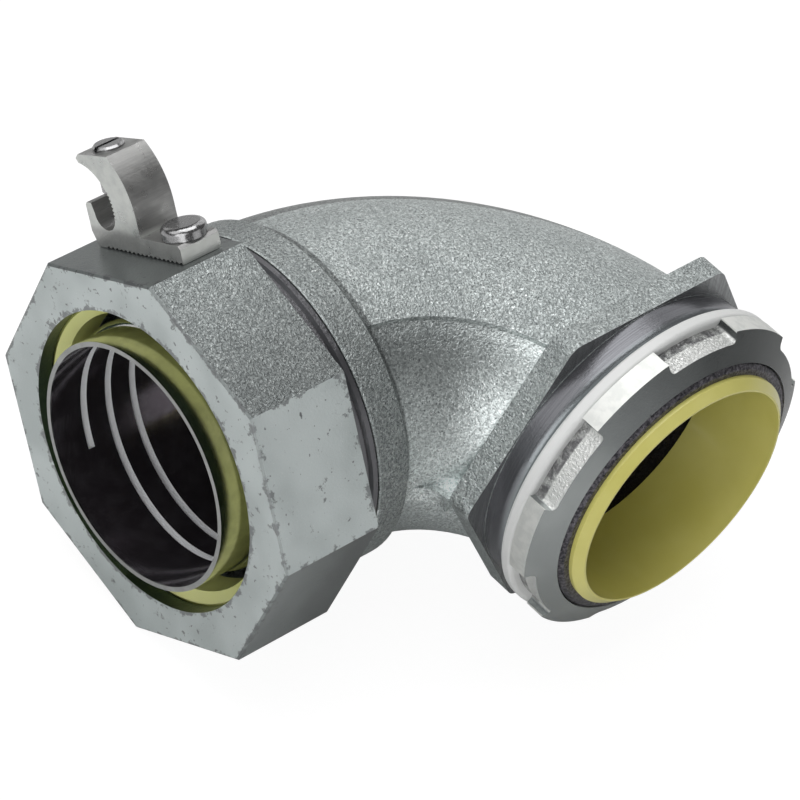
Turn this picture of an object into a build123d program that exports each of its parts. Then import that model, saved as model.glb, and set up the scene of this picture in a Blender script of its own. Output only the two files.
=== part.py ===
import os
from math import cos, radians, sin, tan

from build123d import *

os.makedirs("parts", exist_ok=True)

# A 90 degree liquidtight connector for 2 inch flexible metal conduit, in millimetres.
# The threaded hub points along +X and the conduit enters along -Y, so both axes lie in
# the XY plane. The origin is on the hub axis, in the front face of the hexagon collar.

# Bend of the cast body, which ends inside the shoulder at the hub
bend_radius = 48.3
bend_past_hexagon = 4.0
gland_tube_radius = 33.6
hub_tube_radius = 31.1
inner_half_step = 0.9
step_offset = 15.6
passage_radius_gland = 27.6
web_inner_radius = 6.6
web_outer_radius = 11.6
web_thickness = 3.4

# Hub end of the body
hexagon_radius = 39.2
hexagon_thickness = 5.3
hexagon_corner_radius = 3.2
shoulder_step = 2.5
shoulder_length = 6.0
shoulder_edge_radius = 2.4
nipple_radius = 29.2
nipple_length = 16.6
nipple_bore_radius = 26.0
nipple_chamfer = 0.8

# Gland end of the body
collar_step = 1.4
collar_length = 8.1
collar_lap = 2.5
collar_edge_radius = 0.9
spigot_radius = 33.2
spigot_length = 16.8
spigot_chamfer = 0.9
conduit_pocket_radius = 30.4
conduit_pocket_depth = 15.6

# Gland nut
nut_flat_to_axis = 38.1
nut_flat_count = 8
nut_lean = 30.8
nut_front_chamfer = 0.4
nut_prism_length = 22.5
nut_neck_radius = 34.9
nut_neck_length = 5.4
nut_neck_groove_width = 1.1
nut_neck_groove_depth = 0.6
nut_neck_groove_count = 2
nut_mouth_radius = 30.75
nut_lip_length = 3.1
nut_cone_length = 2.1

# Sealing ring inside the nut
ring_inner_radius = 28.4
ring_length = 7.6
ring_bevel = 1.3
ring_back_chamfer = 0.8

# Sheet steel ferrule that screws into the conduit
ferrule_outer_radius = 25.4
ferrule_wall = 1.0
ferrule_beyond_nut = 2.3
ferrule_flange_radius = 30.1
ferrule_flange_thickness = 1.2
bead_pitch = 6.0
bead_turns = 2.75
bead_tube_radius = 1.5
bead_height = 1.0
bead_groove_radius = 0.9
bead_first_station = 7.7
bead_start_angle = 219.5

# Insulated throat
throat_radius = 25.0
throat_lip_radius = 27.1
throat_lip_thickness = 0.9
throat_nose_radius = 25.4
throat_nose_length = 1.6
throat_sleeve_length = 17.0

# Sealing washer and locknut
washer_thickness = 2.9
washer_inset = 0.1
washer_edge_radius = 0.9
locknut_lug_thickness = 4.2
locknut_bore_thickness = 7.1
locknut_root_wall = 3.7
locknut_lug_wall = 5.8
locknut_lug_count = 6
locknut_lug_angle = 30.0
locknut_first_lug = 57.7
locknut_notch_fillet = 1.1

# Grounding lug: distances along the nut's flat and heights above it
lug_width = 9.2
lug_from_front = 10.1
lug_foot_end = 13.6
lug_foot_thickness = 3.6
lug_foot_bevel = 0.6
lug_stem_outside = 1.8
lug_bow_start = 7.5
lug_bow_end = -3.2
lug_height = 19.1
lug_tip = -13.1
lug_tip_drop = 0.6
lug_tip_thickness = 1.8
lug_slot_right = -5.1
lug_slot_width = 6.0
lug_slot_floor = 3.7
lug_hook_bow_start = 8.2
lug_jaw_height = 8.8
lug_jaw_outside = -13.4
lug_jaw_base = -12.2
lug_jaw_corner = 0.5
lug_teeth = 7
lug_tooth_pitch = 0.75
foot_teeth = 18
foot_tooth_pitch = 1.3
tooth_depth = 0.45
tooth_land = 0.15

# Screws of the lug
mount_screw_inset = 4.0
mount_screw_shank_radius = 2.4
mount_screw_head_radius = 4.4
mount_screw_head_height = 2.5
mount_screw_head_edge = 1.2
mount_screw_reach = 3.6
clamp_screw_place = -8.3
clamp_screw_radius = 3.1
clamp_screw_length = 9.5
clamp_screw_proud = 0.5
clamp_screw_edge = 0.4
clamp_screw_slot_width = 0.9
clamp_screw_slot_depth = 1.1

# Clearances
axial_gap = 0.3
thread_clearance = 0.3
screw_clearance = 0.05
screw_hole_clearance = 0.3
seat_gap = 0.1
sleeve_clearance = 0.2
cut_margin = 1.0
pick_tolerance = 0.01

# Places that follow from the sizes above
bend_centre = (bend_past_hexagon, -bend_radius)
gland_axis_x = bend_past_hexagon - bend_radius
shoulder_radius = hub_tube_radius + shoulder_step
collar_radius = gland_tube_radius + collar_step
helix_zero_angle = 90.0
collar_back = -(bend_radius - collar_lap)
collar_front = collar_back - collar_length
collar_corner = (-hexagon_thickness, collar_back)
spigot_end = collar_front - spigot_length
pocket_floor = spigot_end + conduit_pocket_depth
nut_length = nut_prism_length + nut_neck_length
nut_front = collar_front - axial_gap - nut_length
nut_bore_radius = spigot_radius + thread_clearance
washer_back = shoulder_length
locknut_back = washer_back + washer_thickness
locknut_front = locknut_back + locknut_bore_thickness
thread_hole_radius = nipple_radius + thread_clearance
locknut_root_radius = thread_hole_radius + locknut_root_wall
locknut_lug_radius = thread_hole_radius + locknut_lug_wall
washer_radius = locknut_lug_radius - washer_inset

# Section planes hold (radius, distance along the axis) of a turned form
hub_axis = Axis((0, 0, 0), (1, 0, 0))
hub_section = Plane(origin=(0, 0, 0), x_dir=(0, 1, 0), z_dir=(0, 0, -1))
hub_face = Plane(origin=(0, 0, 0), x_dir=(0, 1, 0), z_dir=(1, 0, 0))
gland_axis = Axis((gland_axis_x, 0, 0), (0, 1, 0))
gland_section = Plane(origin=(gland_axis_x, 0, 0), x_dir=(1, 0, 0), z_dir=(0, 0, 1))
gland_face = Plane(origin=(gland_axis_x, nut_front, 0), x_dir=(1, 0, 0), z_dir=(0, -1, 0))

# The lug's flat leans from the vertical: its own directions and places
lean = radians(nut_lean)
outward = Vector(-sin(lean), 0, cos(lean))
along = Vector(cos(lean), 0, sin(lean))
flat_middle = Vector(gland_axis_x, nut_front + lug_from_front, 0) + outward * nut_flat_to_axis
lug_seat = flat_middle + outward * seat_gap
lug_front = Plane(origin=lug_seat, x_dir=along, z_dir=(0, -1, 0))
lug_middle = lug_seat + Vector(0, lug_width / 2, 0)
mount_screw_place = lug_foot_end - mount_screw_inset
mount_screw_plane = Plane(origin=lug_middle + along * mount_screw_place, x_dir=along, z_dir=outward)
clamp_screw_plane = Plane(origin=lug_middle + along * clamp_screw_place, x_dir=along, z_dir=outward)


def turned(section, axis, outline, mode=Mode.ADD):
    """Turn a closed outline of (radius, distance) corners about an axis."""
    with BuildSketch(section) as profile:
        with BuildLine():
            Polyline(*outline, close=True)
        make_face()
    return revolve(profile.sketch, axis=axis, mode=mode)


def tube_section(plane, radius, outer_half):
    """Round section of the bend, cut off past the step for its outer half."""
    with BuildSketch(plane) as section:
        Circle(radius)
        if outer_half:
            with Locations((-step_offset - radius, 0)):
                Rectangle(2 * radius, 2 * radius, mode=Mode.SUBTRACT)
    return section.sketch


# Quarter bend as its own path, from the hub's mouth to the gland's mouth
with BuildLine() as bend:
    CenterArc(bend_centre, bend_radius, 90, 90)
hub_mouth = Plane(origin=bend.line @ 0, x_dir=(0, 1, 0), z_dir=(-1, 0, 0))
gland_mouth = Plane(origin=bend.line @ 1, x_dir=(-1, 0, 0), z_dir=(0, -1, 0))


def bend_tube(hub_radius, gland_radius, outer_half=False, mode=Mode.ADD):
    """Tapered quarter bend between the two mouths."""
    sections = [
        tube_section(hub_mouth, hub_radius, outer_half),
        tube_section(gland_mouth, gland_radius, outer_half),
    ]
    sweep(sections, path=bend.line, multisection=True, mode=mode)


# Cast body
with BuildPart() as elbow_body:
    bend_tube(hub_tube_radius, gland_tube_radius, outer_half=True)
    bend_tube(hub_tube_radius - inner_half_step, gland_tube_radius - inner_half_step)

    # Web on the parting line, in the corner between the two collars
    with BuildSketch(Plane.XY.offset(-web_thickness)):
        with BuildLine():
            web_outer = CenterArc(collar_corner, web_outer_radius, 90, 90)
            web_inner = CenterArc(collar_corner, web_inner_radius, 90, 90)
            Line(web_outer @ 0, web_inner @ 0)
            Line(web_outer @ 1, web_inner @ 1)
        make_face()
    extrude(amount=web_thickness)

    # Round collar and threaded spigot at the gland
    turned(
        gland_section,
        gland_axis,
        (
            (0, collar_back),
            (collar_radius - collar_edge_radius, collar_back),
            (collar_radius, collar_back - collar_edge_radius),
            (collar_radius, collar_front),
            (spigot_radius, collar_front),
            (spigot_radius, spigot_end + spigot_chamfer),
            (spigot_radius - spigot_chamfer, spigot_end),
            (0, spigot_end),
        ),
    )

    # Hexagon collar at the hub
    with BuildSketch(hub_face) as hexagon:
        RegularPolygon(hexagon_radius, 6)
        fillet(hexagon.vertices(), hexagon_corner_radius)
    extrude(amount=-hexagon_thickness)

    # Shoulder and nipple
    turned(
        hub_section,
        hub_axis,
        (
            (0, 0),
            (shoulder_radius, 0),
            (shoulder_radius, shoulder_length),
            (nipple_radius, shoulder_length),
            (nipple_radius, nipple_length - nipple_chamfer),
            (nipple_radius - nipple_chamfer, nipple_length),
            (0, nipple_length),
        ),
    )
    shoulder_rim = (
        elbow_body.edges()
        .filter_by(GeomType.CIRCLE)
        .filter_by_position(Axis.X, shoulder_length - pick_tolerance, shoulder_length + pick_tolerance)
        .sort_by(SortBy.RADIUS)[-1]
    )
    fillet(shoulder_rim, shoulder_edge_radius)

    # Hollow: nipple bore, tapered passage and the pocket for the conduit's end
    turned(
        hub_section,
        hub_axis,
        (
            (0, bend_past_hexagon),
            (nipple_bore_radius, bend_past_hexagon),
            (nipple_bore_radius, nipple_length + cut_margin),
            (0, nipple_length + cut_margin),
        ),
        Mode.SUBTRACT,
    )
    bend_tube(nipple_bore_radius, passage_radius_gland, mode=Mode.SUBTRACT)
    turned(
        gland_section,
        gland_axis,
        (
            (0, -bend_radius),
            (passage_radius_gland, -bend_radius),
            (passage_radius_gland, pocket_floor),
            (conduit_pocket_radius, pocket_floor),
            (conduit_pocket_radius, spigot_end - cut_margin),
            (0, spigot_end - cut_margin),
        ),
        Mode.SUBTRACT,
    )

# Gland nut: octagon with a turned neck, a plain mouth, a cone and the threaded bore
with BuildPart() as gland_nut:
    with BuildSketch(gland_face) as octagon:
        RegularPolygon(
            nut_flat_to_axis, nut_flat_count, major_radius=False, rotation=nut_lean + 180 / nut_flat_count
        )
    extrude(amount=-nut_prism_length)
    chamfer(gland_nut.edges().group_by(Axis.Y)[0], nut_front_chamfer)
    neck_back = nut_front + nut_length
    turned(
        gland_section,
        gland_axis,
        (
            (0, nut_front + nut_prism_length),
            (nut_neck_radius, nut_front + nut_prism_length),
            (nut_neck_radius, neck_back),
            (0, neck_back),
        ),
    )
    groove_land = (nut_neck_length - nut_neck_groove_count * nut_neck_groove_width) / (
        nut_neck_groove_count + 1
    )
    for turn in range(nut_neck_groove_count):
        groove_start = (
            nut_front + nut_prism_length + groove_land + turn * (groove_land + nut_neck_groove_width)
        )
        groove_middle = groove_start + nut_neck_groove_width / 2
        turned(
            gland_section,
            gland_axis,
            (
                (nut_neck_radius + cut_margin, groove_start),
                (nut_neck_radius, groove_start),
                (nut_neck_radius - nut_neck_groove_depth, groove_middle),
                (nut_neck_radius, groove_start + nut_neck_groove_width),
                (nut_neck_radius + cut_margin, groove_start + nut_neck_groove_width),
            ),
            Mode.SUBTRACT,
        )
    turned(
        gland_section,
        gland_axis,
        (
            (0, nut_front - cut_margin),
            (nut_mouth_radius, nut_front - cut_margin),
            (nut_mouth_radius, nut_front + nut_lip_length),
            (nut_bore_radius, nut_front + nut_lip_length + nut_cone_length),
            (nut_bore_radius, neck_back + cut_margin),
            (0, neck_back + cut_margin),
        ),
        Mode.SUBTRACT,
    )
    with BuildSketch(mount_screw_plane.offset(-seat_gap - mount_screw_reach - screw_clearance)):
        Circle(mount_screw_shank_radius + screw_clearance)
    extrude(amount=mount_screw_reach + screw_clearance + cut_margin, mode=Mode.SUBTRACT)

# Sealing ring: a bevelled front inside the nut's mouth, a cone and a chamfered back
ring_front = nut_front + nut_lip_length + axial_gap
ring_outer_radius = nut_bore_radius - thread_clearance
ring_cone_start = nut_mouth_radius - axial_gap
with BuildPart() as sealing_ring:
    turned(
        gland_section,
        gland_axis,
        (
            (ring_inner_radius, ring_front + ring_bevel),
            (ring_cone_start, ring_front),
            (ring_outer_radius, ring_front + nut_cone_length),
            (ring_outer_radius, ring_front + ring_length - ring_back_chamfer),
            (ring_outer_radius - ring_back_chamfer, ring_front + ring_length),
            (ring_inner_radius, ring_front + ring_length),
        ),
    )

# Ferrule: flanged sleeve with a right-hand screw bead, rolled outwards from its bore
ferrule_front = nut_front - ferrule_beyond_nut
ferrule_inner_radius = ferrule_outer_radius - ferrule_wall
bead_centre_radius = ferrule_outer_radius + bead_height - bead_tube_radius
with BuildPart() as ferrule:
    turned(
        gland_section,
        gland_axis,
        (
            (ferrule_inner_radius, ferrule_front),
            (ferrule_outer_radius, ferrule_front),
            (ferrule_outer_radius, pocket_floor - ferrule_flange_thickness),
            (ferrule_flange_radius, pocket_floor - ferrule_flange_thickness),
            (ferrule_flange_radius, pocket_floor),
            (ferrule_inner_radius, pocket_floor),
        ),
    )
    with BuildLine() as bead:
        Helix(
            bead_pitch,
            bead_pitch * bead_turns,
            bead_centre_radius,
            center=(gland_axis_x, ferrule_front + bead_first_station, 0),
            direction=(0, 1, 0),
        )
    bead_mouth = Plane(origin=bead.line @ 0, z_dir=bead.line % 0)
    with BuildSketch(bead_mouth):
        Circle(bead_tube_radius)
    sweep(path=bead.line, is_frenet=True)
    turned(
        gland_section,
        gland_axis,
        (
            (0, ferrule_front - cut_margin),
            (ferrule_inner_radius, ferrule_front - cut_margin),
            (ferrule_inner_radius, pocket_floor + cut_margin),
            (0, pocket_floor + cut_margin),
        ),
        Mode.SUBTRACT,
    )
    with BuildSketch(bead_mouth):
        Circle(bead_groove_radius)
    sweep(path=bead.line, is_frenet=True, mode=Mode.SUBTRACT)

ferrule.part = ferrule.part.rotate(gland_axis, helix_zero_angle - bead_start_angle)

# Insulated throat: a lip on the nipple's end and a sleeve inside its bore
sleeve_end = nipple_length - throat_sleeve_length
sleeve_radius = nipple_bore_radius - sleeve_clearance
throat_front = nipple_length + throat_lip_thickness + throat_nose_length
with BuildPart() as throat_insulator:
    turned(
        hub_section,
        hub_axis,
        (
            (throat_radius, sleeve_end),
            (sleeve_radius, sleeve_end),
            (sleeve_radius, nipple_length),
            (throat_lip_radius, nipple_length),
            (throat_lip_radius, nipple_length + throat_lip_thickness),
            (throat_nose_radius, throat_front),
            (throat_radius, throat_front),
        ),
    )

# Sealing washer, rounded at its rim
with BuildPart() as sealing_washer:
    turned(
        hub_section,
        hub_axis,
        (
            (thread_hole_radius, washer_back),
            (washer_radius, washer_back),
            (washer_radius, locknut_back),
            (thread_hole_radius, locknut_back),
        ),
    )
    rim_edges = sealing_washer.faces().sort_by(SortBy.AREA).filter_by(GeomType.CYLINDER)[-1].edges()
    fillet(rim_edges.filter_by(GeomType.CIRCLE), washer_edge_radius)

# Dished locknut with driving lugs round its rim
lug_half = radians(locknut_lug_angle / 2)
with BuildPart() as locknut:
    with BuildSketch(hub_face.offset(locknut_back)) as lug_rim:
        with PolarLocations(0, locknut_lug_count, start_angle=locknut_first_lug):
            Polygon(
                (0, 0),
                (2 * locknut_lug_radius, -2 * locknut_lug_radius * tan(lug_half)),
                (2 * locknut_lug_radius, 2 * locknut_lug_radius * tan(lug_half)),
                align=None,
            )
        Circle(locknut_lug_radius, mode=Mode.INTERSECT)
        Circle(locknut_root_radius)
        notch_corners = lug_rim.vertices().group_by(lambda corner: Vector(corner).length, tol_digits=3)[0]
        fillet(notch_corners, locknut_notch_fillet)
    extrude(amount=locknut_bore_thickness)
    turned(
        hub_section,
        hub_axis,
        (
            (thread_hole_radius, locknut_back),
            (locknut_lug_radius, locknut_back),
            (locknut_lug_radius, locknut_back + locknut_lug_thickness),
            (thread_hole_radius, locknut_front),
        ),
        Mode.INTERSECT,
    )

# Grounding lug: foot, stem bowed into a hook, and a round-bottomed slot for the wire
slot_radius = lug_slot_width / 2
slot_left = lug_slot_right - lug_slot_width
slot_centre_height = lug_slot_floor + slot_radius
hook_lower = lug_height - lug_tip_drop - lug_tip_thickness


def tooth_gap(middle, direction, pitch):
    """Corners of a V cut that sinks to the right of a direction along the outline."""
    inward = direction.rotate(Axis.Z, -90)
    half = direction * (pitch - tooth_land) / 2
    outside = inward * cut_margin
    return (
        middle - half - outside,
        middle - half,
        middle + inward * tooth_depth,
        middle + half,
        middle + half - outside,
    )


with BuildPart() as ground_lug:
    with BuildSketch(lug_front) as lug_side:
        with BuildLine():
            foot = Polyline(
                (lug_jaw_base, 0),
                (lug_foot_end, 0),
                (lug_foot_end, lug_foot_thickness - lug_foot_bevel),
                (lug_foot_end - lug_foot_bevel, lug_foot_thickness),
                (lug_stem_outside, lug_foot_thickness),
                (lug_stem_outside, lug_bow_start),
            )
            back = TangentArc(foot @ 1, (lug_bow_end, lug_height), tangent=(0, 1))
            tip = Polyline(
                back @ 1,
                (lug_tip + lug_tip_thickness / 2, lug_height - lug_tip_drop),
                (lug_tip, hook_lower + lug_tip_thickness / 2),
                (lug_tip + lug_tip_drop, hook_lower),
            )
            wall = Line((lug_slot_right, slot_centre_height), (lug_slot_right, lug_hook_bow_start))
            hook = TangentArc(wall @ 1, tip @ 1, tangent=(0, 1))
            floor = ThreePointArc(
                wall @ 0,
                (lug_slot_right - slot_radius, lug_slot_floor),
                (slot_left, slot_centre_height),
            )
            Polyline(
                floor @ 1,
                (slot_left - lug_jaw_corner, lug_jaw_height),
                (lug_jaw_outside + lug_jaw_corner, lug_jaw_height),
                (lug_jaw_outside, lug_jaw_height - lug_jaw_corner),
                (lug_jaw_outside, lug_foot_thickness - lug_foot_bevel),
                (lug_jaw_base, 0),
            )
        make_face()
        # Teeth that bite into the wire, up the slot's wall, and into the nut, under the foot
        bite = Wire([wall.edge(), hook.edge()])
        gaps = []
        for tooth in range(lug_teeth):
            distance = (tooth + 0.5) * lug_tooth_pitch
            place = bite.position_at(distance, position_mode=PositionMode.LENGTH)
            direction = bite.tangent_at(distance, position_mode=PositionMode.LENGTH)
            gaps.append(tooth_gap(place, direction, lug_tooth_pitch))
        for tooth in range(foot_teeth):
            place = Vector(lug_foot_end - (tooth + 0.5) * foot_tooth_pitch, 0)
            gaps.append(tooth_gap(place, Vector(-1, 0), foot_tooth_pitch))
        for corners in gaps:
            with BuildLine():
                Polyline(*corners, close=True)
            make_face(mode=Mode.SUBTRACT)
    extrude(amount=-lug_width)
    with BuildSketch(mount_screw_plane.offset(-cut_margin)):
        Circle(mount_screw_shank_radius + screw_hole_clearance)
    extrude(amount=lug_foot_thickness + 2 * cut_margin, mode=Mode.SUBTRACT)
    with BuildSketch(clamp_screw_plane.offset(lug_height + cut_margin)):
        Circle(clamp_screw_radius + screw_clearance)
    extrude(amount=-(lug_height + cut_margin - slot_centre_height), mode=Mode.SUBTRACT)

# Mounting screw: pan head on the foot, shank into the nut
mount_screw_head = mount_screw_plane.offset(lug_foot_thickness + seat_gap)
with BuildPart() as mounting_screw:
    with BuildSketch(mount_screw_head):
        Circle(mount_screw_head_radius)
    extrude(amount=mount_screw_head_height)
    head_edge = mounting_screw.faces().sort_by(Axis(lug_seat, outward))[-1].edges()
    fillet(head_edge, mount_screw_head_edge)
    with BuildSketch(mount_screw_head):
        Circle(mount_screw_shank_radius)
    extrude(amount=-(lug_foot_thickness + 2 * seat_gap + mount_screw_reach))

# Slotted clamp screw in the hook's crown, square to the slot's floor
clamp_screw_top = clamp_screw_plane.offset(lug_height + clamp_screw_proud)
with BuildPart() as clamp_screw:
    with BuildSketch(clamp_screw_top):
        Circle(clamp_screw_radius)
    extrude(amount=-clamp_screw_length)
    chamfer(clamp_screw.edges().filter_by(GeomType.CIRCLE), clamp_screw_edge)
    with BuildSketch(clamp_screw_top):
        Rectangle(clamp_screw_slot_width, 2 * clamp_screw_radius)
    extrude(amount=-clamp_screw_slot_depth, mode=Mode.SUBTRACT)

pieces = {
    "elbow_body": elbow_body,
    "gland_nut": gland_nut,
    "sealing_ring": sealing_ring,
    "ferrule": ferrule,
    "throat_insulator": throat_insulator,
    "sealing_washer": sealing_washer,
    "locknut": locknut,
    "ground_lug": ground_lug,
    "mounting_screw": mounting_screw,
    "clamp_screw": clamp_screw,
}
for name, piece in pieces.items():
    piece.part.label = name
    export_step(piece.part, f"parts/{name}.step")
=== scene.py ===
from math import cos, radians, sin

import bpy
from mathutils import Matrix, Vector


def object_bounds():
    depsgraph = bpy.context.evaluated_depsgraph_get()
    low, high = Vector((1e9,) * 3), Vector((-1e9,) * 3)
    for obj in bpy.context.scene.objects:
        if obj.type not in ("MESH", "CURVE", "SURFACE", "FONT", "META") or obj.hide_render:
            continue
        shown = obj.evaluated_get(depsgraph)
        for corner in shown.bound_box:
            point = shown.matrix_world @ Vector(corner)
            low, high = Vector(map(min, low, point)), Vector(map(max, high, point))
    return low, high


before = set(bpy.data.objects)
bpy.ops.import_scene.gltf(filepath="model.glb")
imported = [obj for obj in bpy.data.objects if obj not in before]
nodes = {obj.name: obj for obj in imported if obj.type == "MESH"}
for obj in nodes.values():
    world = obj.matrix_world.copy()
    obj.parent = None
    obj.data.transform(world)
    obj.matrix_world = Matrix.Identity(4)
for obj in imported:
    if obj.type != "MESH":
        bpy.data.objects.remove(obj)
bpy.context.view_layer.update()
scene = bpy.context.scene
scene.view_settings.view_transform = "Standard"

MM = 0.001

# Bend: the centre and radius of its arc, the step down to its inner half and the edge of the painted shade
# along its far side
BEND_CENTRE = (4.0 * MM, -48.3 * MM)
BEND_RADIUS = 48.3 * MM
STEP_OFFSET = -15.6 * MM
FAR_SHADE_OFFSET = 8.5 * MM
FAR_SHADE_START, FAR_SHADE_END = -44.0 * MM, -6.0 * MM
FAR_SHADE_HEIGHTS = (27.6 * MM, 22.4 * MM)
PASSAGE_RADIUS = 28.8 * MM

# Hub, along X: the hexagon, the shoulder, the nipple and the locknut on it
HEXAGON_BACK = -5.3 * MM
SHOULDER_END = 6.3 * MM
NIPPLE_START = 6.4 * MM
THROAT_RADIUS = 26.8 * MM
NOTCH_RADIUS = 33.7 * MM
NOTCH_STRIP = 10.8 * MM
LUG_RIM = 34.9 * MM

# Gland, along Y: the collar, the nut and the ferrule
GLAND_X = -44.3 * MM
COLLAR_BACK = -45.8 * MM
COLLAR_FRONT = -53.9 * MM
WEB_CORNER = (HEXAGON_BACK, COLLAR_BACK)
NUT_FRONT = -82.1 * MM
NUT_DEPTH = 22.4 * MM
NUT_NECK = -59.65 * MM
NUT_MOUTH = 30.9 * MM
FLAT_TO_AXIS = 38.1 * MM
NUT_LEAN = radians(30.8)
HALF_FLAT = radians(22.5)
FERRULE_FRONT = -84.4 * MM
FERRULE_BORE = 24.4 * MM
FERRULE_OUTSIDE = 25.4 * MM

# Degrees round the nut's axis that its flats face: two with the rough grain and two darkened as painted
# shade
ROUGH_FLATS = (75.8, -104.2)
SHADED_LOWER_FLAT = -14.2
SHADED_BACK_FLAT = 120.8

# Directions that a surface can face
TO_HUB = (1.0, 0.0, 0.0)
TO_GLAND = (0.0, -1.0, 0.0)

# Pairs of colours that noise mixes
GRAIN = ((0.32, 0.348, 0.345), (0.62, 0.668, 0.66))
TURNED = ((0.16, 0.16, 0.175), (0.22, 0.225, 0.24))
MILLED = ((0.24, 0.25, 0.255), (0.36, 0.37, 0.375))
TORN = ((0.03, 0.03, 0.036), (0.20, 0.19, 0.21))
NUT_ZINC = ((0.51, 0.56, 0.555), (0.63, 0.685, 0.68))
LOCKNUT_ZINC = ((0.36, 0.385, 0.385), (0.46, 0.49, 0.485))
# painted highlight on the locknut's lug rims
LUG_RIM_HIGHLIGHT = ((0.80, 0.815, 0.79), (0.90, 0.91, 0.88))
NOTCH_ZINC = ((0.20, 0.20, 0.205), (0.52, 0.53, 0.52))
SLEEVE_OUTSIDE = ((0.50, 0.51, 0.50), (0.62, 0.63, 0.62))
# painted shade inside the ferrule
SLEEVE_INSIDE_SHADE = ((0.12, 0.105, 0.12), (0.18, 0.165, 0.185))
DRAWN_LUG = ((0.36, 0.36, 0.355), (0.42, 0.42, 0.412))
SAWN_LUG = ((0.62, 0.64, 0.62), (0.74, 0.76, 0.73))
SCREW_STEEL = ((0.36, 0.36, 0.365), (0.50, 0.50, 0.505))
RING_PLASTIC = ((0.96, 0.98, 0.38), (0.92, 0.95, 0.33))
THROAT_PLASTIC = ((0.82, 0.765, 0.235), (0.76, 0.705, 0.19))
WASHER_PLASTIC = ((0.86, 0.87, 0.86), (0.82, 0.83, 0.82))

# Single colours
BRIGHT_SPECK = (0.93, 0.96, 0.95)
DARK_SPECK = (0.10, 0.11, 0.115)
SMOOTH_SPECK = (0.8, 0.82, 0.82)
CAST_MOTTLE = (0.36, 0.39, 0.39)
CAST_CLOUD = (0.31, 0.34, 0.34)
# painted highlight on the shoulder next to the washer
SHOULDER_END_HIGHLIGHT = (0.42, 0.47, 0.48)
THROAT_SHADOW = (0.03, 0.028, 0.03)
NUT_BLOTCH = (0.18, 0.19, 0.195)
NUT_WORN = (0.17, 0.175, 0.18)
NUT_NECK_GREY = (0.17, 0.17, 0.18)
# painted shade on the nut's mouth wall, tinted green as a painted reflection of the ring
NUT_MOUTH_SHADE_AND_RING_REFLECTION = (0.05, 0.08, 0.055)
LOCKNUT_BLOTCH = (0.14, 0.145, 0.15)
# painted light on the front strip of the notch floor
NOTCH_STRIP_HIGHLIGHT = (0.86, 0.87, 0.85)
DUST = (0.5, 0.5, 0.5)
# painted highlight in the ferrule's groove
GROOVE_HIGHLIGHT = (0.94, 0.95, 0.96)
FOOT_END_LIGHT = (0.72, 0.74, 0.71)


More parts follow.
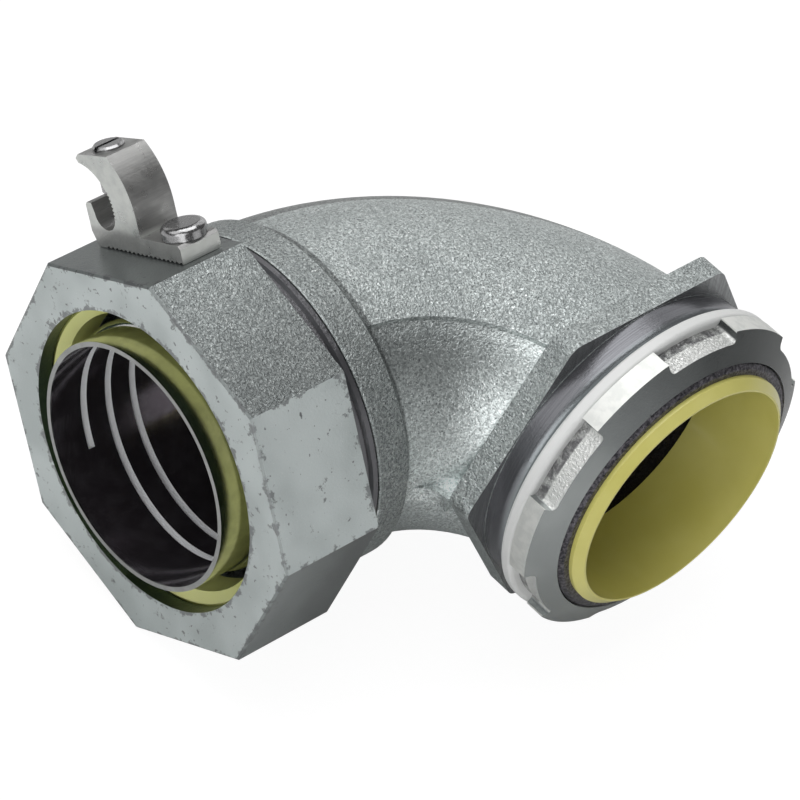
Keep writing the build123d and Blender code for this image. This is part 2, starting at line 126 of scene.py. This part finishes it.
class Shader:
    """A node tree around one Principled BSDF, in object coordinates."""

    def __init__(self, name, roughness, metallic=0.0, coat=0.0):
        self.material = bpy.data.materials.new(name)
        self.material.use_nodes = True
        self.nodes = self.material.node_tree.nodes
        self.links = self.material.node_tree.links
        self.bsdf = self.nodes["Principled BSDF"]
        self.set("Roughness", roughness)
        self.set("Metallic", metallic)
        self.set("Coat Weight", coat)
        self.set("Coat Roughness", 0.1)
        place = self.nodes.new("ShaderNodeTexCoord")
        self.point = place.outputs["Object"]
        self.normal = place.outputs["Normal"]
        self.x, self.y, self.z = self.split(self.point)

    def plug(self, socket, value):
        if isinstance(value, bpy.types.NodeSocket):
            self.links.new(value, socket)
        elif isinstance(value, tuple) and socket.type == "RGBA":
            socket.default_value = (*value, 1.0)
        else:
            socket.default_value = value

    def set(self, name, value):
        self.plug(self.bsdf.inputs[name], value)

    def split(self, vector):
        node = self.nodes.new("ShaderNodeSeparateXYZ")
        self.links.new(vector, node.inputs[0])
        return node.outputs

    def calc(self, operation, *values):
        node = self.nodes.new("ShaderNodeMath")
        node.operation = operation
        for socket, value in zip(node.inputs, values):
            self.plug(socket, value)
        return node.outputs[0]

    def fold(self, operation, first, *others):
        for other in others:
            first = self.calc(operation, first, other)
        return first

    def add(self, *values):
        return self.fold("ADD", *values)

    def minus(self, a, b):
        return self.calc("SUBTRACT", a, b)

    def times(self, *values):
        return self.fold("MULTIPLY", *values)

    def any_of(self, *values):
        return self.fold("MAXIMUM", *values)

    def without(self, value):
        return self.minus(1.0, value)

    def size(self, value):
        return self.calc("ABSOLUTE", value)

    def length(self, a, b):
        return self.calc("SQRT", self.add(self.times(a, a), self.times(b, b)))

    def from_centre(self, centre):
        """Distance from a centre in the plane of the bend."""
        return self.length(self.minus(self.x, centre[0]), self.minus(self.y, centre[1]))

    def round_gland(self):
        """Offset along X from the gland's axis, and the distance from that axis."""
        across = self.minus(self.x, GLAND_X)
        return across, self.length(across, self.z)

    def dot(self, a, b):
        node = self.nodes.new("ShaderNodeVectorMath")
        node.operation = "DOT_PRODUCT"
        self.plug(node.inputs[0], a)
        self.plug(node.inputs[1], b)
        return node.outputs["Value"]

    def noise(self, scale, detail=2.0, rough=0.5, vector=None, twist=0.0):
        node = self.nodes.new("ShaderNodeTexNoise")
        self.plug(node.inputs["Vector"], vector or self.point)
        self.plug(node.inputs["Scale"], scale)
        self.plug(node.inputs["Detail"], detail)
        self.plug(node.inputs["Roughness"], rough)
        self.plug(node.inputs["Distortion"], twist)
        return node.outputs["Fac"]

    def streaks(self, scales, detail=3.0, rough=0.6, turn=0.0):
        """Noise with its own scale along each axis, turned about X."""
        node = self.nodes.new("ShaderNodeMapping")
        self.plug(node.inputs["Vector"], self.point)
        self.plug(node.inputs["Rotation"], (turn, 0.0, 0.0))
        self.plug(node.inputs["Scale"], scales)
        return self.noise(1.0, detail, rough, vector=node.outputs[0])

    def span(self, value, low, high, to_low=0.0, to_high=1.0):
        node = self.nodes.new("ShaderNodeMapRange")
        node.interpolation_type = "SMOOTHSTEP"
        names = ("Value", "From Min", "From Max", "To Min", "To Max")
        for name, given in zip(names, (value, low, high, to_low, to_high)):
            self.plug(node.inputs[name], given)
        return node.outputs[0]

    def past(self, value, edge, soft=0.1 * MM):
        return self.span(value, edge - soft, edge + soft)

    def before(self, value, edge, soft=0.1 * MM):
        return self.span(value, edge - soft, edge + soft, 1.0, 0.0)

    def between(self, value, low, high, soft=0.1 * MM):
        return self.times(self.past(value, low, soft), self.before(value, high, soft))

    def facing(self, direction, low=0.93, high=0.97):
        return self.span(self.dot(self.normal, direction), low, high)

    def mix(self, share, a, b):
        node = self.nodes.new("ShaderNodeMix")
        node.data_type = "RGBA"
        self.plug(node.inputs[0], share)
        self.plug(node.inputs[6], a)
        self.plug(node.inputs[7], b)
        return node.outputs[2]

    def patchy(self, pattern, pair, low=0.35, high=0.65):
        return self.mix(self.span(pattern, low, high), *pair)

    def blend(self, share, a, b):
        node = self.nodes.new("ShaderNodeMix")
        node.data_type = "FLOAT"
        self.plug(node.inputs[0], share)
        self.plug(node.inputs[2], a)
        self.plug(node.inputs[3], b)
        return node.outputs[0]

    def tone(self, colour, factor):
        node = self.nodes.new("ShaderNodeVectorMath")
        node.operation = "SCALE"
        self.plug(node.inputs[0], colour)
        self.plug(node.inputs["Scale"], factor)
        return node.outputs[0]

    def tone_in(self, zone, colour, factor):
        return self.tone(colour, self.blend(zone, 1.0, factor))

    def relief(self, height, distance, strength=1.0):
        node = self.nodes.new("ShaderNodeBump")
        self.plug(node.inputs["Height"], height)
        self.plug(node.inputs["Distance"], distance)
        self.plug(node.inputs["Strength"], strength)
        self.set("Normal", node.outputs[0])


class Casting(Shader):
    """Rough cast zinc: a fine leathery grain with bright and dark specks over soft clouds."""

    def __init__(self, name):
        super().__init__(name, roughness=0.4, metallic=0.75)
        self.grain = self.noise(1750.0, 2.5, 0.58, twist=0.7)
        self.speck = self.noise(2800.0, 1.5)
        self.mottle = self.noise(430.0, 3.0, 0.6)
        self.cloud = self.noise(60.0)

    def cast(self):
        colour = self.patchy(self.grain, GRAIN, 0.36, 0.62)
        colour = self.mix(self.span(self.speck, 0.60, 0.72), colour, BRIGHT_SPECK)
        colour = self.mix(self.span(self.speck, 0.28, 0.40, 1.0, 0.0), colour, DARK_SPECK)
        colour = self.mix(self.span(self.mottle, 0.40, 0.62, 0.0, 0.3), colour, CAST_MOTTLE)
        return self.mix(self.span(self.cloud, 0.4, 0.65, 0.0, 0.25), colour, CAST_CLOUD)

    def smooth_cast(self, pair, blotch):
        colour = self.patchy(self.cloud, pair)
        colour = self.mix(self.span(self.speck, 0.62, 0.8, 0.0, 0.35), colour, SMOOTH_SPECK)
        return self.mix(self.span(self.mottle, 0.70, 0.75), colour, blotch)

    def finish(self, colour, smooth, matt=0.0):
        """Set colour, roughness and relief; smooth runs from full grain at 0 to hardly any at 1."""
        self.set("Base Color", colour)
        grainy = self.span(self.grain, 0.3, 0.7, 0.42, 0.30)
        self.set("Roughness", self.any_of(self.blend(smooth, grainy, 0.27), matt))
        height = self.add(self.grain, self.times(self.mottle, 0.5))
        self.relief(height, 0.46 * MM, self.span(smooth, 0.0, 1.0, 1.0, 0.1))
        return self.material


def elbow_inside(s, outward):
    """The walls of the throat, of the gland's bore and of the passage between them."""
    hub_r = s.length(s.y, s.z)
    _, gland_r = s.round_gland()
    throat = s.times(s.past(s.x, 3.5 * MM, 0.5 * MM), s.before(hub_r, THROAT_RADIUS, 0.2 * MM))
    gland_bore = s.times(s.before(s.y, -47.5 * MM, 0.5 * MM), s.before(gland_r, PASSAGE_RADIUS, 0.2 * MM))
    passage = s.times(
        s.before(s.x, BEND_CENTRE[0] + 0.1 * MM),
        s.past(s.y, BEND_CENTRE[1]),
        s.before(s.length(outward, s.z), PASSAGE_RADIUS, 0.2 * MM),
    )
    return s.any_of(throat, gland_bore, passage)


def elbow_tones(s, in_bend, inner_half, smooth_shaded_far_side):
    """Zones of the casting, each with its tone against plain casting; after the first, these are painted
    shade, painted highlights and a painted reflection.
    """
    height = s.size(s.z)
    web_r = s.from_centre(WEB_CORNER)
    collar_middle_less_shaded = s.between(s.x, -62.0 * MM, -34.0 * MM, 9.0 * MM)
    corner = s.times(in_bend, s.between(s.y, COLLAR_BACK, COLLAR_BACK + 1.5 * MM, 0.3 * MM))
    rear_edge_shade = s.between(s.y, COLLAR_BACK - 0.75 * MM, COLLAR_BACK - 0.05 * MM, 0.15 * MM)
    front_edge_highlight = s.between(s.y, COLLAR_FRONT, COLLAR_FRONT + 0.5 * MM)
    ledge_highlight = s.times(s.between(web_r, 8.2 * MM, 11.4 * MM, 0.3 * MM), s.before(height, 1.9 * MM))
    crack_shade = s.times(s.between(web_r, 11.5 * MM, 12.3 * MM, 0.2 * MM), s.before(height, 2.9 * MM, 0.3 * MM))
    return (
        (s.times(in_bend, s.without(inner_half)), 1.14),
        # painted reflection: the inner half darker away from the hexagon and lighter towards it
        (inner_half, s.span(s.x, -24.0 * MM, -6.0 * MM, 0.82, 1.46)),
        # painted shade: the collar darker, most at its sides
        (s.before(s.y, COLLAR_BACK), s.blend(collar_middle_less_shaded, 0.72, 0.86)),
        # painted shade in the corner behind the collar
        (corner, 0.42),
        # painted shade along the collar's rear edge
        (rear_edge_shade, 0.55),
        # painted highlight along the collar's front edge
        (front_edge_highlight, 1.5),
        # painted highlight on the web's ledge
        (ledge_highlight, 1.5),
        # painted shade in the crack beside the ledge
        (crack_shade, 0.3),
        # painted shade along the far side of the bend
        (smooth_shaded_far_side, 0.42),
    )


def elbow_metal():
    s = Casting("rough cast zinc")
    outward = s.minus(s.from_centre(BEND_CENTRE), BEND_RADIUS)
    in_bend = s.times(s.before(s.x, HEXAGON_BACK), s.past(s.y, COLLAR_BACK))
    inner_half = s.times(in_bend, s.before(outward, STEP_OFFSET))
    # Painted shade: the far side of the bend darkened below a height that falls along X
    far_shade_height = s.span(s.x, FAR_SHADE_START, FAR_SHADE_END, *FAR_SHADE_HEIGHTS)
    below_far_shade_height = s.past(s.minus(far_shade_height, s.size(s.z)), 0.0, 0.2 * MM)
    smooth_shaded_far_side = s.times(in_bend, s.past(outward, FAR_SHADE_OFFSET, 0.5 * MM), below_far_shade_height)
    hexagon_face = s.times(s.facing(TO_HUB), s.between(s.x, -0.2 * MM, 0.2 * MM))
    shoulder = s.between(s.x, 0.1 * MM, SHOULDER_END)

    colour = s.cast()
    for zone, factor in elbow_tones(s, in_bend, inner_half, smooth_shaded_far_side):
        colour = s.tone_in(zone, colour, factor)

    turned = s.patchy(s.streaks((3800.0, 25.0, 25.0)), TURNED, 0.3, 0.7)
    # painted highlight on the shoulder next to the washer
    turned = s.mix(s.span(s.x, 3.4 * MM, 5.6 * MM, 0.0, 0.7), turned, SHOULDER_END_HIGHLIGHT)
    paints = (
        (shoulder, turned),
        (hexagon_face, s.patchy(s.streaks((1.0, 1900.0, 90.0), 2.0, 0.5, turn=0.6), MILLED)),
        (s.past(s.x, NIPPLE_START), s.patchy(s.noise(1500.0, 3.0, 0.7), TORN, 0.35, 0.68)),
        (elbow_inside(s, outward), THROAT_SHADOW),
    )
    for zone, paint in paints:
        colour = s.mix(zone, colour, paint)
    smooth = s.any_of(shoulder, hexagon_face, s.times(smooth_shaded_far_side, 0.35), s.times(inner_half, 0.65))
    return s.finish(colour, smooth)


def nut_wear(s, front, plated, radius, folded):
    """Plating gone in ragged patches, most of them along rims and edges, and in small pits."""
    ragged = s.noise(330.0, 7.0, 0.72)
    from_axis = s.times(radius, s.calc("COSINE", folded))
    from_front = s.minus(s.y, NUT_FRONT)
    rim = s.any_of(
        s.span(from_axis, FLAT_TO_AXIS - 1.5 * MM, FLAT_TO_AXIS),
        s.span(radius, NUT_MOUTH, NUT_MOUTH + 1.5 * MM, 1.0, 0.0),
    )
    edge = s.any_of(
        s.span(from_front, 0.4 * MM, 2.0 * MM, 1.0, 0.0),
        s.span(from_front, NUT_DEPTH - 4.4 * MM, NUT_DEPTH, 0.0, 0.8),
        s.span(folded, radians(20.5), radians(22.4)),
    )
    worn_front = s.times(front, s.span(s.add(ragged, s.times(rim, 0.16)), 0.60, 0.67))
    worn_sides = s.times(s.without(front), s.span(s.add(ragged, s.times(edge, 0.13)), 0.62, 0.68))
    pits = s.times(plated, s.span(s.noise(750.0), 0.69, 0.73))
    return s.times(s.any_of(worn_front, worn_sides, pits), plated)


def nut_metal():
    s = Casting("cast nut zinc")
    across, radius = s.round_gland()
    turn = s.minus(s.calc("ARCTAN2", s.z, across), NUT_LEAN)
    folded = s.calc("PINGPONG", turn, HALF_FLAT)

    def flat(degrees):
        return s.facing((cos(radians(degrees)), 0.0, sin(radians(degrees))), 0.955, 0.975)

    front = s.facing(TO_GLAND, 0.9, 0.96)
    shaded_bevel = s.between(s.dot(s.normal, TO_GLAND), 0.3, 0.85, 0.05)
    plated = s.without(s.any_of(*(flat(degrees) for degrees in ROUGH_FLATS)))
    neck = s.times(s.span(s.y, NUT_NECK, NUT_NECK + 0.15 * MM), s.without(front))
    # painted shade on the mouth wall, tinted green as a painted reflection of the ring
    shaded_mouth = s.times(s.span(radius, NUT_MOUTH, NUT_MOUTH + 0.1 * MM, 1.0, 0.0), s.without(front))

    plain = s.smooth_cast(NUT_ZINC, NUT_BLOTCH)
    # painted shade: the lower flat darker, more towards the back, and the back flat darker
    plain = s.tone_in(flat(SHADED_LOWER_FLAT), plain, s.span(s.y, -80.0 * MM, -62.0 * MM, 0.5, 0.26))
    plain = s.tone_in(flat(SHADED_BACK_FLAT), plain, 0.4)
    # painted shade: the rough flats darker, the one at 75.8 degrees most towards its lower edge
    grainy = s.tone(s.cast(), s.span(turn, radians(24.0), radians(66.0), 0.56, 0.88))
    # painted shade: the chamfers at half tone
    colour = s.tone_in(shaded_bevel, s.mix(plated, grainy, plain), 0.5)

    worn = s.times(nut_wear(s, front, plated, radius, folded), 0.75)
    for zone, paint in ((worn, NUT_WORN), (neck, NUT_NECK_GREY), (shaded_mouth, NUT_MOUTH_SHADE_AND_RING_REFLECTION)):
        colour = s.mix(zone, colour, paint)
    return s.finish(colour, s.times(plated, 0.85))


def locknut_metal():
    s = Casting("cast locknut zinc")
    radius = s.length(s.y, s.z)
    sides = s.without(s.facing(TO_HUB, 0.6, 0.75))
    rim = s.times(s.span(radius, LUG_RIM, LUG_RIM + 0.25 * MM), sides)
    notch = s.times(s.before(radius, NOTCH_RADIUS, 0.2 * MM), sides)
    toward_shaded_upper_right = s.add(s.times(s.y, 0.75), s.times(s.z, 0.65))

    plain = s.smooth_cast(LOCKNUT_ZINC, LOCKNUT_BLOTCH)
    # painted shade: the face darker towards the upper right
    plain = s.tone(plain, s.span(toward_shaded_upper_right, -12.0 * MM, 26.0 * MM, 0.92, 0.24))
    # painted highlight on the lug rims
    bright = s.patchy(s.mottle, LUG_RIM_HIGHLIGHT, 0.35, 0.62)
    rough = s.patchy(s.mottle, NOTCH_ZINC, 0.38, 0.62)
    # painted light on the front strip of the notch floor
    rough = s.mix(s.past(s.x, NOTCH_STRIP, 0.2 * MM), rough, NOTCH_STRIP_HIGHLIGHT)
    colour = s.mix(notch, s.mix(rim, plain, bright), rough)
    return s.finish(colour, s.without(s.times(notch, 0.9)), s.times(rim, 0.55))


def plastic(name, pair, roughness, coat=0.0):
    s = Shader(name, roughness=roughness, coat=coat)
    cloud = s.noise(70.0, 3.0)
    fine = s.noise(1400.0)
    s.set("Base Color", s.patchy(cloud, pair, 0.3, 0.7))
    s.relief(s.add(s.times(fine, 0.25), cloud), 0.05 * MM, 0.25)
    return s.material


def sheet_metal():
    s = Shader("plated sheet steel", roughness=0.2, metallic=1.0)
    drawn = s.streaks((900.0, 5200.0, 900.0))
    patch = s.noise(260.0, 4.0, 0.65)
    dust = s.noise(2600.0, 2.0, 0.6)
    across, radius = s.round_gland()
    normal_x, _, normal_z = s.split(s.normal)
    outward = s.calc("DIVIDE", s.add(s.times(normal_x, across), s.times(normal_z, s.z)), radius)
    outside = s.times(s.past(radius, FERRULE_OUTSIDE - 0.1 * MM), s.span(outward, -0.05, 0.2))
    behind_rim = s.past(s.y, FERRULE_FRONT + 0.3 * MM)
    inner = s.times(behind_rim, s.without(outside))
    # painted highlight: the groove made bright and diffuse
    groove_highlight = s.times(inner, s.past(radius, FERRULE_BORE + 0.06 * MM, 0.04 * MM))

    outer_colour = s.tone(s.patchy(patch, SLEEVE_OUTSIDE), s.blend(behind_rim, 0.7, 1.0))
    # painted shade inside the ferrule, with real dust over it and a painted highlight in the groove
    inside_shade_dust_and_highlight = s.patchy(patch, SLEEVE_INSIDE_SHADE, 0.4, 0.65)
    inside_shade_dust_and_highlight = s.mix(s.span(dust, 0.62, 0.75, 0.0, 0.6), inside_shade_dust_and_highlight, DUST)
    inside_shade_dust_and_highlight = s.mix(groove_highlight, inside_shade_dust_and_highlight, GROOVE_HIGHLIGHT)
    s.set("Base Color", s.mix(inner, outer_colour, inside_shade_dust_and_highlight))
    s.set("Metallic", s.blend(groove_highlight, s.blend(inner, 1.0, 0.85), 0.15))
    s.set("Roughness", s.blend(groove_highlight, s.span(drawn, 0.3, 0.7, 0.09, 0.16), 0.4))
    s.relief(drawn, 0.03 * MM, 0.3)
    return s.material


def lug_metal():
    s = Shader("plated lug", roughness=0.3, metallic=0.8)
    drawn = s.streaks((2600.0, 160.0, 2600.0))
    patch = s.noise(330.0, 3.0, 0.6)
    sawn = s.span(s.size(s.dot(s.normal, TO_GLAND)), 0.9, 0.96)
    above_origin = s.dot(s.point, (-sin(NUT_LEAN), 0.0, cos(NUT_LEAN)))
    seat = -GLAND_X * sin(NUT_LEAN) + FLAT_TO_AXIS
    foot = s.before(above_origin, seat + 4.1 * MM, 0.9 * MM)
    foot_end = s.times(foot, s.facing((cos(NUT_LEAN), 0.0, sin(NUT_LEAN))))

    colour = s.mix(foot_end, s.patchy(drawn, DRAWN_LUG, 0.3, 0.7), FOOT_END_LIGHT)
    # painted shade: the foot's sawn faces mostly keep the darker drawn colour
    sawn_with_foot_shaded = s.times(sawn, s.without(s.times(foot, 0.75)))
    s.set("Base Color", s.mix(sawn_with_foot_shaded, colour, s.patchy(patch, SAWN_LUG)))
    s.set("Roughness", s.span(patch, 0.3, 0.7, 0.26, 0.42))
    s.relief(s.add(drawn, s.times(patch, 0.6)), 0.05 * MM, 0.5)
    return s.material


def screw_metal():
    s = Shader("bright screw", roughness=0.2, metallic=1.0)
    fine = s.noise(2600.0, 2.0, 0.6)
    s.set("Base Color", s.patchy(fine, SCREW_STEEL))
    s.set("Roughness", s.span(fine, 0.3, 0.7, 0.16, 0.28))
    s.relief(fine, 0.02 * MM, 0.3)
    return s.material


def dress(material, *names):
    for name in names:
        for slot in nodes[name].material_slots:
            slot.material = material


dress(elbow_metal(), "elbow_body")
dress(nut_metal(), "gland_nut")
dress(locknut_metal(), "locknut")
dress(plastic("pale ring plastic", RING_PLASTIC, 0.32, 0.3), "sealing_ring")
dress(plastic("pale throat plastic", THROAT_PLASTIC, 0.3, 0.4), "throat_insulator")
dress(plastic("white washer plastic", WASHER_PLASTIC, 0.4), "sealing_washer")
dress(sheet_metal(), "ferrule")
dress(lug_metal(), "ground_lug")
dress(screw_metal(), "mounting_screw", "clamp_screw")


def shade(tree, kind, grey, strength=None):
    node = tree.nodes.new(kind)
    node.inputs["Color"].default_value = (grey, grey, grey, 1.0)
    if strength is not None:
        node.inputs["Strength"].default_value = strength
    return node.outputs[0]


def floor_seen(tree):
    """Nearly white of itself, and takes a faint shadow."""
    both = tree.nodes.new("ShaderNodeAddShader")
    tree.links.new(shade(tree, "ShaderNodeBsdfDiffuse", 0.16), both.inputs[0])
    tree.links.new(shade(tree, "ShaderNodeEmission", 1.0, 0.93), both.inputs[1])
    return both.outputs[0]


def floor_lit(tree):
    return shade(tree, "ShaderNodeBsdfDiffuse", 0.78)


def studio_seen(tree):
    return shade(tree, "ShaderNodeBackground", 1.0, 1.0)


def studio_lit(tree):
    return shade(tree, "ShaderNodeBackground", 1.0, 0.12)


def white_backdrop(owner, lit, seen, output):
    """Show one shader to the camera, also through glass, and light the part with another."""
    owner.use_nodes = True
    tree = owner.node_tree
    tree.nodes.clear()
    path = tree.nodes.new("ShaderNodeLightPath")
    either = tree.nodes.new("ShaderNodeMath")
    either.operation = "MAXIMUM"
    tree.links.new(path.outputs["Is Camera Ray"], either.inputs[0])
    tree.links.new(path.outputs["Is Transmission Ray"], either.inputs[1])
    choice = tree.nodes.new("ShaderNodeMixShader")
    tree.links.new(either.outputs[0], choice.inputs[0])
    tree.links.new(lit(tree), choice.inputs[1])
    tree.links.new(seen(tree), choice.inputs[2])
    tree.links.new(choice.outputs[0], tree.nodes.new(output).inputs["Surface"])


FLOOR_REACH = 3.0
FLOOR_GAP = 0.0002
FLOOR_CORNERS = ((-1, -1), (1, -1), (1, 1), (-1, 1))

white = bpy.data.materials.new("white floor")
white_backdrop(white, floor_lit, floor_seen, "ShaderNodeOutputMaterial")
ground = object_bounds()[0].z - FLOOR_GAP
floor_mesh = bpy.data.meshes.new("floor")
floor_mesh.from_pydata(
    [(x * FLOOR_REACH, y * FLOOR_REACH, ground) for x, y in FLOOR_CORNERS],
    [],
    [(0, 1, 2, 3)],
)
floor_mesh.materials.append(white)
floor = bpy.data.objects.new("floor", floor_mesh)
scene.collection.objects.link(floor)

scene.world = bpy.data.worlds.new("studio")
white_backdrop(scene.world, studio_lit, studio_seen, "ShaderNodeOutputWorld")

# Soft boxes round the part: name, direction from it, side in metres and power in watts
LAMP_AIM = Vector((-0.03, -0.03, 0.0))
LAMP_DISTANCE = 0.9
LAMPS = (
    ("overhead", (-0.20, 0.05, 1.0), 0.9, 5.2),
    ("front left", (-0.45, -0.62, 0.65), 0.7, 1.6),
    ("back left", (-0.50, 0.80, 0.34), 0.8, 1.4),
    ("right", (0.93, 0.38, 0.08), 0.7, 0.8),
    ("front right", (0.45, -0.86, 0.26), 0.8, 3.0),
)
for name, direction, side, power in LAMPS:
    lamp_data = bpy.data.lights.new(name, "AREA")
    lamp_data.shape = "SQUARE"
    lamp_data.size = side
    lamp_data.energy = power
    away = Vector(direction).normalized()
    lamp = bpy.data.objects.new(name, lamp_data)
    lamp.location = LAMP_AIM + away * LAMP_DISTANCE
    lamp.rotation_euler = away.to_track_quat("Z", "Y").to_euler()
    scene.collection.objects.link(lamp)

# Camera fitted to the photograph: angles in radians, lengths in metres, focal length in pixels
AZIMUTH, ELEVATION, ROLL = 0.687822684, 0.771449497, 0.223492101
DISTANCE = 0.915028730
TARGET = Vector((-0.0321781, -0.0268615, -0.0031418))
FOCAL_LENGTH = 4748.24058
PHOTO_WIDTH = 800
SENSOR_WIDTH = 36.0

back = Vector((sin(AZIMUTH) * cos(ELEVATION), -cos(AZIMUTH) * cos(ELEVATION), sin(ELEVATION)))
level = Vector((cos(AZIMUTH), sin(AZIMUTH), 0.0))
upright = back.cross(level)
right = cos(ROLL) * level + sin(ROLL) * upright
up = cos(ROLL) * upright - sin(ROLL) * level
turned_to_part = Matrix((right, up, back)).transposed().to_4x4()
camera_data = bpy.data.cameras.new("camera")
camera_data.sensor_width = SENSOR_WIDTH
camera_data.lens = FOCAL_LENGTH / PHOTO_WIDTH * SENSOR_WIDTH
camera_data.clip_start = 0.05
camera_data.clip_end = 20.0
camera = bpy.data.objects.new("camera", camera_data)
camera.matrix_world = Matrix.Translation(TARGET + back * DISTANCE) @ turned_to_part
scene.collection.objects.link(camera)
scene.camera = camera
